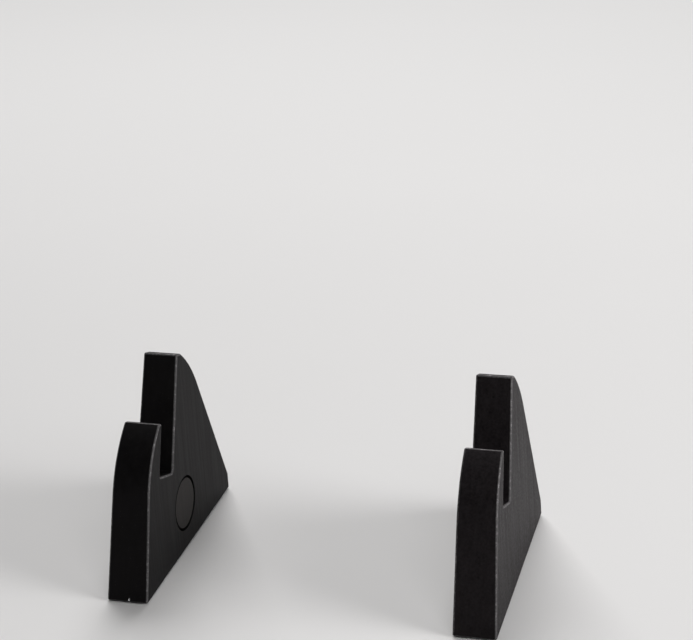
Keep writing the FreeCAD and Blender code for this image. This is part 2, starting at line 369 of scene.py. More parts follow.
class NodeBoard:
    """A node tree with short ways to add nodes and join them."""

    def __init__(self, tree: bpy.types.NodeTree) -> None:
        """Keep the tree that nodes are added to."""
        self.tree = tree

    def fill(self, node: bpy.types.Node, inputs: dict[str | int, object]) -> None:
        """Fill and link inputs of a node.

        Args:
            node: The node.
            inputs: For each input, by name or number, a value or the output that feeds it.
        """
        for key, value in inputs.items():
            if isinstance(value, bpy.types.NodeSocket):
                self.tree.links.new(value, node.inputs[key])
            else:
                node.inputs[key].default_value = value

    def add(self, kind: str, inputs: dict[str | int, object] | None = None,
            **settings: object) -> bpy.types.Node:
        """Add a node, set what it is and fill its inputs.

        Args:
            kind: The node's type, such as ShaderNodeMath.
            inputs: What fills its inputs, as in fill.
            settings: The node's own settings.

        Returns:
            The node.
        """
        node = self.tree.nodes.new(kind)
        for name, value in settings.items():
            setattr(node, name, value)
        self.fill(node, inputs or {})
        return node

    def math(self, operation: str, *values: object) -> bpy.types.NodeSocket:
        """One sum, of numbers and sockets in the order that the operation takes them."""
        return self.add("ShaderNodeMath", dict(enumerate(values)), operation=operation).outputs[0]

    def ramp(self, value: bpy.types.NodeSocket, low: float, high: float,
             to: tuple[object, object] = (0.0, 1.0)) -> bpy.types.NodeSocket:
        """A value's range from low to high, mapped onto another range and held at both ends."""
        return self.add("ShaderNodeMapRange", {"Value": value, "From Min": low, "From Max": high,
                                               "To Min": to[0], "To Max": to[1]}).outputs[0]

    def mix(self, factor: bpy.types.NodeSocket, first: object, second: object) -> bpy.types.NodeSocket:
        """Blend from a first colour, at a factor of 0, to a second one, at 1."""
        return self.add("ShaderNodeMix", {"Factor": factor, "A": opaque(first), "B": opaque(second)},
                        data_type="RGBA").outputs[2]

    def steps(self, position: bpy.types.NodeSocket, size: object) -> bpy.types.NodeSocket:
        """The position counted in steps of a size."""
        return self.add("ShaderNodeVectorMath", {0: position, "Scale": self.math("DIVIDE", 1.0, size)},
                        operation="SCALE").outputs[0]

    def noise(self, place: bpy.types.NodeSocket, detail: float, roughness: float = 0.5,
              scale: float = 1.0) -> bpy.types.NodeSocket:
        """Cloudy noise at a place, with its number of finer layers and how strong each is."""
        return self.add("ShaderNodeTexNoise", {"Vector": place, "Scale": scale, "Detail": detail,
                                               "Roughness": roughness}).outputs[0]


def new_group(name: str, inputs: dict[str, str], outputs: list[str]) -> tuple[NodeBoard, dict]:
    """An empty shader node group.

    Args:
        name: The group's name.
        inputs: Socket type of each named input.
        outputs: The names of its outputs, which are plain numbers.

    Returns:
        A board for the group's nodes, and its input sockets by name, as seen from inside.
    """
    group = bpy.data.node_groups.new(name, "ShaderNodeTree")
    for label, kind in inputs.items():
        group.interface.new_socket(label, in_out="INPUT", socket_type=kind)
    for label in outputs:
        group.interface.new_socket(label, in_out="OUTPUT", socket_type=FLOAT)
    entry = group.nodes.new("NodeGroupInput")
    return NodeBoard(group), {socket.name: socket for socket in entry.outputs if socket.name}


def grain_group(tones: Span = (0.3, 0.7), cells: float = 0.45, dot_rim: Span = (0.28, 0.1),
                kept: Span = (0.72, 0.95)) -> bpy.types.NodeTree:
    """Fine grain of a coating: a field of small rounded bumps with a few coarser specks.

    Args:
        tones: The noise that gives the darkest and the lightest grain.
        cells: How many cells, with at most one speck each, lie along the size of a grain.
        dot_rim: How far from a cell's middle its speck ends, and how far out it is full.
        kept: The draws between which a cell's speck comes to show.

    Returns:
        A group with the inputs Position and Grain Size, and the outputs Grain and Specks.
    """
    board, given = new_group("coating_grain", {"Position": VECTOR, "Grain Size": FLOAT}, ["Grain", "Specks"])
    place = board.steps(given["Position"], given["Grain Size"])
    grain = board.ramp(board.noise(place, detail=2.0, roughness=0.6), *tones)
    cell = board.add("ShaderNodeTexVoronoi", {"Vector": place, "Scale": cells, "Randomness": 1.0})
    drawn = board.add("ShaderNodeSeparateColor", {0: cell.outputs["Color"]}).outputs[0]
    specks = board.math("MULTIPLY", board.ramp(cell.outputs["Distance"], *dot_rim), board.ramp(drawn, *kept))
    board.add("NodeGroupOutput", {"Grain": grain, "Specks": specks})
    return board.tree


def streak_group(tones: Span = (0.32, 0.68)) -> bpy.types.NodeTree:
    """Faint upright streaks, as fine finishing leaves on a flat side.

    Args:
        tones: The noise that gives the darkest and the lightest streak.

    Returns:
        A group with the inputs Position, Width and Length, and the output Streaks.
    """
    board, given = new_group("finishing_streaks", {"Position": VECTOR, "Width": FLOAT, "Length": FLOAT},
                             ["Streaks"])
    across = board.math("DIVIDE", 1.0, given["Width"])
    along = board.math("DIVIDE", 1.0, given["Length"])
    stretch = board.add("ShaderNodeCombineXYZ", {0: across, 1: across, 2: along}).outputs[0]
    place = board.add("ShaderNodeVectorMath", {0: given["Position"], 1: stretch},
                      operation="MULTIPLY").outputs[0]
    streaks = board.ramp(board.noise(place, detail=3.0, roughness=0.55), *tones)
    board.add("NodeGroupOutput", {"Streaks": streaks})
    return board.tree


def rub_highlight_group(patches: Span = (0.5, 0.72)) -> bpy.types.NodeTree:
    """Rubbed edges: an even lightening of every round, which is a painted highlight, with stronger patches of
    wear where the edge attribute is high.

    Args:
        patches: The noise between which the rub grows from its least to its full strength.

    Returns:
        A group with the inputs Position, Edge, Patch Size and Least Rub And Highlight, and the output Worn
        And Highlit.
    """
    board, given = new_group("rubbed_edges", {"Position": VECTOR, "Edge": FLOAT, "Patch Size": FLOAT,
                                              "Least": FLOAT}, ["Worn"])
    place = board.steps(given["Position"], given["Patch Size"])
    # the least share lies evenly on every round as a painted highlight; the noise patches above it are wear
    rub = board.ramp(board.noise(place, detail=4.0, roughness=0.65), *patches, (given["Least"], 1.0))
    board.add("NodeGroupOutput", {"Worn": board.math("MULTIPLY", rub, given["Edge"])})
    return board.tree


class Effects:
    """The node groups that the finishes share, each built once."""

    def __init__(self) -> None:
        """Build every group."""
        self.grain = grain_group()
        self.streaks = streak_group()
        self.edge_rub_highlight = rub_highlight_group()


def seen_ray(board: NodeBoard) -> bpy.types.NodeSocket:
    """Tell the rays that show the backdrop, also in gloss or through glass, from those that only light.

    Args:
        board: The node tree of the floor or the world.

    Returns:
        A mask, 1 for a ray that shows.
    """
    path = board.add("ShaderNodeLightPath").outputs
    return board.math("MAXIMUM", path["Is Camera Ray"],
                      board.math("MAXIMUM", path["Is Glossy Ray"], path["Is Transmission Ray"]))


# --- finishes -----------------------------------------------------------------


class Surface:
    """A material in the making, laid out in the coordinates of the piece that wears it."""

    def __init__(self, name: str, effects: Effects) -> None:
        """Start with the shader, its output and the position alone.

        Args:
            name: The material's name.
            effects: The shared node groups.
        """
        self.effects = effects
        self.material = bpy.data.materials.new(name)
        self.material.use_nodes = True
        self.material.node_tree.nodes.clear()
        self.board = NodeBoard(self.material.node_tree)
        self.shader = self.board.add("ShaderNodeBsdfPrincipled")
        self.output = self.board.add("ShaderNodeOutputMaterial", {"Surface": self.shader.outputs[0]})
        self.position = self.board.add("ShaderNodeTexCoord").outputs["Object"]

    def effect(self, group: bpy.types.NodeTree, inputs: dict[str, object]) -> bpy.types.NodeOutputs:
        """The outputs of a shared effect laid over the surface, with its inputs apart from Position."""
        given = {"Position": self.position, **inputs}
        return self.board.add("ShaderNodeGroup", given, node_tree=group).outputs

    def grain(self, size: float) -> bpy.types.NodeOutputs:
        """The outputs of the grain effect, with grains of a size."""
        return self.effect(self.effects.grain, {"Grain Size": size})

    def bump(self, height: bpy.types.NodeSocket, depth: float, strength: float) -> bpy.types.NodeSocket:
        """The normal of a surface raised by a height of 0 to 1 times a depth."""
        return self.board.add("ShaderNodeBump", {"Height": height, "Distance": depth,
                                                 "Strength": strength}).outputs[0]

    def fill(self, inputs: dict[str, object]) -> None:
        """Give each named input of the shader its value, or link the output that feeds it."""
        self.board.fill(self.shader, inputs)


@dataclass(frozen=True)
class Finish:
    """A finish that pieces can wear."""

    name: str = "finish"

    def material(self, effects: Effects) -> bpy.types.Material:
        """Build the material.

        Args:
            effects: The shared node groups.

        Returns:
            The material.
        """
        surface = Surface(self.name, effects)
        self.paint(surface)
        return surface.material

    def paint(self, surface: Surface) -> None:
        """Fill the inputs of the surface's shader."""
        raise NotImplementedError


@dataclass(frozen=True)
class SatinBlackCoat(Finish):
    """A satin black coating on metal, with fine grain, faint upright streaks and lightly rubbed edges,
    lightened all along as a painted highlight.
    """

    name: str = "satin_black_coat"
    deep: Colour = (0.0016, 0.0014, 0.0015)
    raised: Colour = (0.0050, 0.0046, 0.0048)
    speck: Colour = (0.0160, 0.0150, 0.0155)
    # the edges' colour: partly rubbed wear, partly a painted highlight
    rubbed_highlight_colour: Colour = (0.170, 0.165, 0.167)
    reflection: Colour = (1.0, 0.93, 0.96)
    grain_size: float = 0.30 * MM
    grain_depth: float = 0.014 * MM
    bump_strength: float = 0.5
    streak_width: float = 1.5 * MM
    streak_length: float = 45 * MM
    streak_share: float = 0.6
    wear_patch: float = 0.9 * MM
    # the least share of the edge colour on every round: a painted highlight
    least_rub_highlight: float = 0.35
    smoothest: float = 0.50
    roughest: float = 0.64
    rubbed_roughness: float = 0.34
    rubbed_metal: float = 0.6
    gloss: float = 0.11

    def paint(self, surface: Surface) -> None:
        """Tone the coat by its streaks and grain, then lay specks on it, rub its edges and lighten them as a
        painted highlight.

        Args:
            surface: The material in the making.
        """
        board = surface.board
        effects = surface.effects
        grain = surface.grain(self.grain_size)
        streaks = surface.effect(effects.streaks, {"Width": self.streak_width, "Length": self.streak_length})
        edge = board.add("ShaderNodeAttribute", attribute_name=WEAR_AND_HIGHLIGHT_ATTRIBUTE).outputs["Fac"]
        rub_and_highlight_share = surface.effect(effects.edge_rub_highlight, {"Edge": edge, "Patch Size": self.wear_patch,
                                             "Least": self.least_rub_highlight})["Worn"]
        tone = board.math("MULTIPLY_ADD", streaks["Streaks"], self.streak_share,
                          board.math("MULTIPLY", grain["Grain"], 1 - self.streak_share))
        coat = board.mix(tone, self.deep, self.raised)
        specked = board.mix(grain["Specks"], coat, self.speck)
        satin = board.ramp(tone, 0.0, 1.0, (self.smoothest, self.roughest))
        surface.fill({
            # every round is lightened: partly rubbed wear, partly a painted highlight
            "Base Color": board.mix(rub_and_highlight_share, specked, self.rubbed_highlight_colour),
            "Roughness": board.add("ShaderNodeMix", {"Factor": rub_and_highlight_share, "A": satin,
                                                     "B": self.rubbed_roughness}).outputs[0],
            "Metallic": board.math("MULTIPLY", rub_and_highlight_share, self.rubbed_metal),
            "Normal": surface.bump(grain["Grain"], self.grain_depth, self.bump_strength),
            "Specular IOR Level": self.gloss,
            "Specular Tint": opaque(self.reflection),
        })


@dataclass(frozen=True)
class PaintedShadeSeam(Finish):
    """Painted shade: a near-black laid inside the open ring round the cap and on the cap's rounded rim, where
    shade falls.
    """

    name: str = "dark_seam"
    deep: Colour = (0.0040, 0.0040, 0.0038)
    dusty: Colour = (0.0100, 0.0098, 0.0094)
    grain_size: float = 0.3 * MM
    roughness: float = 0.95
    gloss: float = 0.0

    def paint(self, surface: Surface) -> None:
        """Lay two near-blacks in a fine grain, as painted shade.

        Args:
            surface: The material in the making.
        """
        grain = surface.grain(self.grain_size)["Grain"]
        surface.fill({"Base Color": surface.board.mix(grain, self.deep, self.dusty),
                      "Roughness": self.roughness, "Specular IOR Level": self.gloss})


@dataclass(frozen=True)
class RibbedRubber(Finish):
    """Matt black rubber of the strips under the feet."""

    name: str = "grip_rubber"
    dark: Colour = (0.012, 0.012, 0.012)
    dusty: Colour = (0.035, 0.034, 0.033)
    dust_per_metre: float = 220.0
    dust_tones: Span = (0.4, 0.75)
    grain_size: float = 0.4 * MM
    grain_depth: float = 0.02 * MM
    bump_strength: float = 0.6
    roughness: float = 0.85

    def paint(self, surface: Surface) -> None:
        """Cloud the rubber with dust and give it a fine grain.

        Args:
            surface: The material in the making.
        """
        board = surface.board
        grain = surface.grain(self.grain_size)["Grain"]
        dust = board.noise(surface.position, detail=3.0, scale=self.dust_per_metre)
        surface.fill({
            "Base Color": board.mix(board.ramp(dust, *self.dust_tones), self.dark, self.dusty),
            "Normal": surface.bump(grain, self.grain_depth, self.bump_strength),
            "Roughness": self.roughness,
        })


@dataclass(frozen=True)
class GrainyMetal(Finish):
    """Bare or plated metal, clouded a little. As it stands, it is the aluminium under a chipped coating."""

    name: str = "bare_metal"
    bright: Colour = (0.62, 0.62, 0.63)
    dull: Colour = (0.30, 0.30, 0.31)
    grain_size: float = 0.25 * MM
    smoothest: float = 0.35
    roughest: float = 0.55

    def paint(self, surface: Surface) -> None:
        """Cloud both the metal's colour and its polish.

        Args:
            surface: The material in the making.
        """
        grain = surface.grain(self.grain_size)["Grain"]
        surface.fill({
            "Base Color": surface.board.mix(grain, self.bright, self.dull),
            "Roughness": surface.board.ramp(grain, 0.0, 1.0, (self.smoothest, self.roughest)),
            "Metallic": 1.0,
        })


@dataclass(frozen=True)
class PaleFloor(Finish):
    """Plain pale studio floor that runs out into a pale haze, well away from the object."""

    name: str = "pale_floor"
    colour: Colour = (0.73, 0.72, 0.715)
    shade: Colour = (0.71, 0.70, 0.695)
    haze: Colour = (0.68, 0.675, 0.67)
    clouds_per_metre: float = 3.0
    roughness: float = 0.9
    haze_span: Span = (0.35, 1.0)

    def paint(self, surface: Surface) -> None:
        """Cloud the floor faintly, and let it fade into the haze with its distance from the object.

        Args:
            surface: The material in the making.
        """
        board = surface.board
        cloud = board.noise(surface.position, detail=2.0, scale=self.clouds_per_metre)
        surface.fill({"Base Color": board.mix(cloud, self.colour, self.shade), "Roughness": self.roughness})
        away = board.add("ShaderNodeVectorMath", {0: surface.position}, operation="LENGTH").outputs["Value"]
        share = board.math("MULTIPLY", board.ramp(away, *self.haze_span), seen_ray(board))
        glow = board.add("ShaderNodeEmission", {"Color": opaque(self.haze)}).outputs[0]
        faded = board.add("ShaderNodeMixShader", {0: share, 1: surface.shader.outputs[0], 2: glow}).outputs[0]
        board.fill(surface.output, {"Surface": faded})


# --- the pieces of one foot ---------------------------------------------------


@dataclass(frozen=True)
class Wedge:
    """The solid of one foot, with its sizes measured back from its front edge and up from its ground face."""

    side: Side
    base_depth: float = 74 * MM
    draft: float = math.radians(1.9)
    front_lean: float = math.radians(16.5)
    tablet_lean: float = math.radians(19.3)
    slot_root: tuple[float, float] = (18.2 * MM, 32.0 * MM)
    slot_width: float = 10.5 * MM
    slot_round: float = 0.8 * MM
    lip_height: float = 47.6 * MM
    lip_top: float = 1.7 * MM
    lip_bend: float = 32 * MM
    rest_height: float = 62 * MM
    rest_top: float = 3.4 * MM
    rest_bend: float = 40 * MM
    brow_slope: float = math.radians(39)
    toe_height: float = 5 * MM
    edge_round: float = 0.6 * MM
    corner_round: float = 0.65 * MM
    ground_round: float = 0.382 * MM
    bend_facet: float = math.radians(2.5)
    round_facet: float = math.radians(14)
    round_steps: int = 6
    ground_steps: int = 5
    seat_gap: float = 0.5 * MM
    seat_break: float = 0.08 * MM
    seat_break_steps: int = 2
    glue_gap: float = 0.1 * MM
    strip_gap: float = 0.15 * MM
    strip_recess: float = 1.0 * MM
    chip_share: float = 0.455
    chip_height: float = 0.95 * MM
    chip_size: tuple[float, float, float] = (0.34 * MM, 0.45 * MM, 0.62 * MM)
    chip_slack: float = 1.02

    def place(self) -> tuple[float, float, float]:
        """Inner face's X, front edge's Y and ground face's Z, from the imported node."""
        low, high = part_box(self.side.named("foot"))
        return self.side.ends("foot")[0], high.y - self.base_depth, low.z

    def corner(self, before: Vector, at: Vector, after: Vector, radius: float) -> list[Stretch]:
        """A straight run up to a rounded corner, and the round.

        Args:
            before: A point on the run that arrives.
            at: The corner.
            after: A point on the run that leaves.
            radius: The round's radius.

        Returns:
            The two stretches.
        """
        back, ahead = (before - at).normalized(), (after - at).normalized()
        half = math.acos(back.dot(ahead)) / 2
        setback = radius / math.tan(half)
        centre = at + (back + ahead).normalized() * (radius / math.sin(half))
        return [(at + back * setback, None, 0.0), (at + ahead * setback, centre, self.round_facet)]

    def profile(self) -> list[Stretch]:
        """The side profile, in points that count (back, up).

        Returns:
            Its stretches, in order, from the front edge round to it again.
        """
        up_slot = Vector((math.sin(self.tablet_lean), math.cos(self.tablet_lean)))
        across_slot = Vector((up_slot.y, -up_slot.x))
        up_front = Vector((math.sin(self.front_lean), math.cos(self.front_lean)))
        into_front = Vector((up_front.y, -up_front.x))
        front, rear = Vector((0.0, 0.0)), Vector((self.base_depth, 0.0))
        toe = Vector((self.base_depth, self.toe_height))

        lip_root = Vector(self.slot_root)
        lip_back_height = self.lip_height - self.lip_top * up_slot.x
        lip_back = lip_root + up_slot * ((lip_back_height - lip_root.y) / up_slot.y)
        lip_front = lip_back - across_slot * self.lip_top
        inset = lip_front.dot(into_front)
        bend_start = up_front * (lip_front.dot(up_front) - math.sqrt(inset * (2 * self.lip_bend - inset)))
        bend_centre = bend_start + into_front * self.lip_bend

        rest_root = lip_root + across_slot * self.slot_width
        rest_front = rest_root + up_slot * ((self.rest_height - rest_root.y) / up_slot.y)
        rest_back = rest_front + across_slot * self.rest_top
        out_of_brow = Vector((math.sin(self.brow_slope), math.cos(self.brow_slope)))
        brow_centre = rest_back - out_of_brow * self.rest_bend
        to_toe = toe - brow_centre
        turn = math.atan2(to_toe.y, to_toe.x) + math.acos(self.rest_bend / to_toe.length)
        brow_end = brow_centre + Vector((math.cos(turn), math.sin(turn))) * self.rest_bend

        def crest(at: Vector, along: Vector, middle: Vector, bend: float) -> tuple[Vector, Vector, Vector]:
            """The round between a bend and a top square to the slot.

            Args:
                at: The sharp corner between the two.
                along: The direction from there along the top.
                middle: The bend's centre.
                bend: The bend's radius.

            Returns:
                The round's end on the bend, its centre and its end on the top.
            """
            inside = at - up_slot * self.corner_round
            offset = inside - middle
            across = offset.dot(along)
            run = -across - math.sqrt(across ** 2 - offset.length_squared + (bend - self.corner_round) ** 2)
            centre = inside + along * run
            return middle + (centre - middle).normalized() * bend, centre, at + along * run

        on_brow, brow_round, on_rest = crest(rest_back, -across_slot, brow_centre, self.rest_bend)
        on_lip, lip_round, on_lip_top = crest(lip_front, across_slot, bend_centre, self.lip_bend)
        return [
            (rear, None, 0.0),
            *self.corner(rear, toe, brow_end, self.corner_round),
            (brow_end, None, 0.0),
            (on_brow, brow_centre, self.bend_facet),
            (on_rest, brow_round, self.round_facet),
            *self.corner(rest_back, rest_front, rest_root, self.corner_round),
            *self.corner(rest_front, rest_root, lip_root, self.slot_round),
            *self.corner(rest_root, lip_root, lip_back, self.slot_round),
            *self.corner(lip_root, lip_back, lip_front, self.corner_round),
            (on_lip_top, None, 0.0),
            (on_lip, lip_round, self.round_facet),
            (bend_start, bend_centre, self.bend_facet),
            (front, None, 0.0),
        ]

    def build(self) -> bpy.types.Object:
        """Model the foot.

        Returns:
            The piece, with its faces sorted by Layer.
        """
        inner, front, ground = self.place()
        stretches = self.profile()

        def lift(point: Vector) -> Vector:
            """A profile point in the frame, on the inner face."""
            return Vector((inner, front + point.x, ground + point.y))

        outline = Outline(self.side.named("wedge"), lift(stretches[-1][0]), ALONG_X)
        for end, centre, facet in stretches:
            if centre is None:
                outline.line_to(lift(end))
            else:
                outline.arc_to(lift(end), lift(centre), facet)
        outer = self.side.ends("foot")[1] + self.side.value * SPARE
        piece = outline.close(outer - inner)
        self.draft_outer_face(piece, ground)
        self.round_edges(piece, ground)
        mark_wear_and_highlight(piece, self.round_facet)
        self.bore_seat(piece)
        self.sink_recess(piece)
        if self.side is Side.LEFT:
            self.chip_front(piece)
        return piece

    def draft_outer_face(self, piece: bpy.types.Object, ground: float) -> None:
        """Cut the outer face to its draft.

        Args:
            piece: The extruded foot, a little too wide.
            ground: Z of the ground face.
        """
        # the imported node's widest point lies on the ground edge's round, so the plane is found from there
        widest = self.side.ends("foot")[1]
        slope = Vector((self.side.value * math.cos(self.draft), 0.0, math.sin(self.draft)))
        lift = self.ground_round * (1 - math.sin(self.draft))
        reach = self.ground_round * (1 / math.cos(self.draft) - 1)
        point = Vector((widest + self.side.value * reach, 0.0, ground + lift))
        edit(piece, "FACE")
        bpy.ops.mesh.select_all(action="SELECT")
        bpy.ops.mesh.bisect(plane_co=point, plane_no=slope, use_fill=True, clear_outer=True,
                            threshold=DRAFT_WELD)
        leave_edit()

    def round_edges(self, piece: bpy.types.Object, ground: float) -> None:
        """Round the rims of both sides, then, more tightly, the edges of the ground face.

        Args:
            piece: The drafted foot.
            ground: Z of the ground face.
        """
        for on_ground, radius, steps in ((False, self.edge_round, self.round_steps),
                                         (True, self.ground_round, self.ground_steps)):
            mesh = edit(piece, "EDGE")
            weight = mesh.edges.layers.float.get(BEVEL_WEIGHT) or mesh.edges.layers.float.new(BEVEL_WEIGHT)
            for edge in mesh.edges:
                turn = edge.calc_face_angle()
                rounded = turn > SHARP_TURN and lies_at(edge, 2, ground) is on_ground
                # half the setback of a round of this radius, because a weight is at most 1
                edge[weight] = math.tan(turn / 2) / 2 if rounded else 0.0
            leave_edit()
            apply_modifier(piece, "BEVEL", limit_method="WEIGHT", width=2 * radius, segments=steps,
                           use_clamp_overlap=False)

    def bore_seat(self, piece: bpy.types.Object) -> None:
        """Bore the stepped seat for cap and magnet, break the seat's rim and give its inside the near-black
        of painted shade.

        Args:
            piece: The rounded foot.
        """
        face = self.place()[0]
        middle, cap_radius = self.side.disc("magnet_cap")
        seat_radius = cap_radius + self.seat_gap
        bore_radius = self.side.disc("magnet")[1] + self.glue_gap
        start = Vector((face - self.side.value * SPARE, middle.y, middle.z))
        for word, radius, corners in (("magnet_cap", seat_radius, RING_CORNERS),
                                      ("magnet", bore_radius, BORE_CORNERS)):
            depth = self.side.ends(word)[1] - start.x
            cut(piece, cylinder("bore_cutter", radius, start, depth, corners))

        def from_axis(point: Vector) -> float:
            """Distance of a point from the magnet's axis."""
            return math.hypot(point.y - middle.y, point.z - middle.z)

        def on_rim(edge: bmesh.types.BMEdge) -> bool:
            """Whether an edge runs round the seat's mouth."""
            round_axis = all(abs(from_axis(vertex.co) - seat_radius) < ON_CIRCLE for vertex in edge.verts)
            return round_axis and lies_at(edge, 0, face) and edge.calc_face_angle() > SHARP_TURN

        round_rim(piece, on_rim, self.seat_break, self.seat_break_steps)
        for polygon in piece.data.polygons:
            # the painted shade starts a third of the way down the broken rim
            sunk = abs(polygon.center.x - face) > self.seat_break / 3
            inside = sunk and from_axis(polygon.center) < seat_radius + self.seat_break
            polygon.material_index = Layer.SEAM if inside else Layer.COAT

    def sink_recess(self, piece: bpy.types.Object) -> None:
        """Sink the strip's recess into the ground face.

        Args:
            piece: The foot.
        """
        low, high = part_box(self.side.named("base_pad"))
        radius = (high.x - low.x) / 2 + self.strip_gap
        ground = self.place()[2]
        start = Vector(((low.x + high.x) / 2, (low.y + high.y) / 2, ground - SPARE))
        half_run = (high.y - low.y) / 2 + self.strip_gap - radius
        cut(piece, stadium("recess_cutter", start, radius, half_run, self.strip_recess + SPARE))

    def chip_front(self, piece: bpy.types.Object) -> None:
        """Knock a small chip out of the front face just above the ground, down to the metal.

        Args:
            piece: The foot with its cuts made.
        """
        _, front, ground = self.place()
        inner, outer = self.side.ends("foot")
        middle = Vector((inner + self.chip_share * (outer - inner),
                         front + self.chip_height * math.tan(self.front_lean), ground + self.chip_height))
        bpy.ops.mesh.primitive_ico_sphere_add(subdivisions=2, radius=1.0, location=middle)
        cutter = bpy.context.object
        cutter.scale = self.chip_size
        # set back along Y, so that the chip is shallower than it is high
        cutter.location.y -= self.chip_size[1] / 2
        centre = cutter.location.copy()
        settle(cutter)
        cut(piece, cutter)

        def in_chip(point: Vector) -> bool:
            """Whether a point lies on the cutter's surface or inside it."""
            shares = (at / size for at, size in zip(point - centre, self.chip_size))
            return math.hypot(*shares) < self.chip_slack

        for polygon in piece.data.polygons:
            if all(in_chip(piece.data.vertices[number].co) for number in polygon.vertices):
                polygon.material_index = Layer.METAL


@dataclass(frozen=True)
class MagnetCap:
    """The round cap over one magnet."""

    side: Side
    rim_round: float = 0.3 * MM
    rim_steps: int = 4
    # faces turned further than this from straight out, the side and outer rim, get the ring's painted shade
    painted_shade_rim: float = 0.985

    def build(self) -> bpy.types.Object:
        """Model the cap with its rounded rim.

        Returns:
            The piece, with the painted shade's layer on its side and the outer part of its rim.
        """
        middle, radius = self.side.disc("magnet_cap")
        face, floor = self.side.ends("magnet_cap")
        start = Vector((floor, middle.y, middle.z))
        piece = cylinder(self.side.named("cap"), radius, start, face - floor, RING_CORNERS)
        round_rim(piece, lambda edge: lies_at(edge, 0, face), self.rim_round, self.rim_steps)
        for polygon in piece.data.polygons:
            faces_out = abs(polygon.normal.x) >= self.painted_shade_rim
            polygon.material_index = Layer.COAT if faces_out else Layer.SEAM
        mark_wear_and_highlight(piece, math.radians(90) / self.rim_steps)
        return piece


@dataclass(frozen=True)
class GripStrip:
    """The non-slip strip under one foot, with fine ribs across its lower face."""

    side: Side
    groove_width: float = 0.5 * MM
    groove_depth: float = 0.22 * MM
    groove_taper: float = 0.5
    rib_pitch: float = 1.5 * MM
    rim_round: float = 0.15 * MM
    rim_steps: int = 3

    def build(self) -> bpy.types.Object:
        """Model the strip and cut its grooves.

        Returns:
            The piece.
        """
        low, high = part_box(self.side.named("base_pad"))
        middle = Vector(((low.x + high.x) / 2, (low.y + high.y) / 2, low.z))
        radius = (high.x - low.x) / 2
        half_run = (high.y - low.y) / 2 - radius
        piece = stadium(self.side.named("grip_strip"), middle, radius, half_run, high.z - low.z)
        round_rim(piece, lambda edge: lies_at(edge, 2, low.z), self.rim_round, self.rim_steps)
        self.cut_grooves(piece, middle, radius, high.y - low.y)
        return piece

    def cut_grooves(self, piece: bpy.types.Object, middle: Vector, radius: float, length: float) -> None:
        """Cut evenly spaced grooves across the lower face.

        Args:
            piece: The strip.
            middle: The middle of its lower face.
            radius: Half its width.
            length: Its length.
        """
        grooves = int((length - 2 * radius) / self.rib_pitch)
        first = middle - Vector((0.0, self.rib_pitch * (grooves - 1) / 2, 0.0))
        bpy.ops.mesh.primitive_cube_add(size=1.0, location=first)
        cutter = bpy.context.object
        cutter.scale = (2 * radius + SPARE, self.groove_width, 2 * self.groove_depth)
        settle(cutter)
        mesh = edit(cutter, "FACE")
        # the face that looks up shrinks, so that each groove is narrower at its floor
        for face in mesh.faces:
            face.select_set(face.normal.z > 0.5)
        bpy.ops.transform.resize(value=(1.0, self.groove_taper, 1.0))
        leave_edit()
        apply_modifier(cutter, "ARRAY", count=grooves, use_relative_offset=False, use_constant_offset=True,
                       constant_offset_displace=(0.0, self.rib_pitch, 0.0))
        cut(piece, cutter)


@dataclass(frozen=True)
class Foot:
    """One whole foot: wedge, cap, magnet and grip strip."""

    side: Side
    coat: bpy.types.Material
    cap_coat: bpy.types.Material
    # the painted shade in the ring round the cap
    seam: bpy.types.Material
    metal: bpy.types.Material
    plate: bpy.types.Material
    rubber: bpy.types.Material

    def build(self) -> None:
        """Build, dress and place every piece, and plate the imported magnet."""
        self.fit(Wedge(self.side).build(), "foot", "foot_metal", self.coat, self.seam, self.metal)
        self.fit(MagnetCap(self.side).build(), "magnet_cap", "cap_metal", self.cap_coat, self.seam)
        self.fit(GripStrip(self.side).build(), "base_pad", "grip_rubber", self.rubber)
        magnet = frame["nodes"][self.side.named("magnet")]
        magnet.data.materials.clear()
        magnet.data.materials.append(self.plate)
        log.info("%s: plated", magnet.name)

    def fit(self, piece: bpy.types.Object, word: str, slot: str, *finishes: bpy.types.Material) -> None:
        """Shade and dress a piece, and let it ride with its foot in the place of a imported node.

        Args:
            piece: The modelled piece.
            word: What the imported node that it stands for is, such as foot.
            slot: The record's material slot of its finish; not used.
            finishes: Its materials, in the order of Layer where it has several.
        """
        smooth(piece)
        for finish in finishes:
            piece.data.materials.append(finish)
        node = self.side.named(word)
        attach(piece, self.side.named("side"))
        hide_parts(node)
        log.info("%s: %d faces for %s", piece.name, len(piece.data.polygons), node)


# --- the studio ---------------------------------------------------------------


def direction(azimuth: float, elevation: float) -> Vector:
    """The unit vector at an azimuth from the front towards the right and an elevation, both in radians."""
    return Vector((math.sin(azimuth) * math.cos(elevation), -math.cos(azimuth) * math.cos(elevation),
                   math.sin(elevation)))


@dataclass(frozen=True)
class Softbox:
    """A soft square lamp that the camera doesn't see, with its angles in degrees."""

    name: str
    azimuth: float
    elevation: float
    distance: float
    width: float
    share: float

    def power(self) -> float:
        """Watts that light a white floor at the origin to this lamp's share of plain white."""
        return self.share * math.pi ** 2 * self.distance ** 2 / math.sin(math.radians(self.elevation))

    def build(self) -> None:
        """Hang the lamp and turn it to the object."""
        lamp = bpy.data.lights.new(self.name, "AREA")
        lamp.size, lamp.energy = self.width, self.power()
        holder = bpy.data.objects.new(self.name, lamp)
        towards = direction(math.radians(self.azimuth), math.radians(self.elevation))
        holder.location = towards * self.distance
        holder.rotation_euler = (-towards).to_track_quat("-Z", "Y").to_euler()
        holder.visible_camera = False
        bpy.context.scene.collection.objects.link(holder)


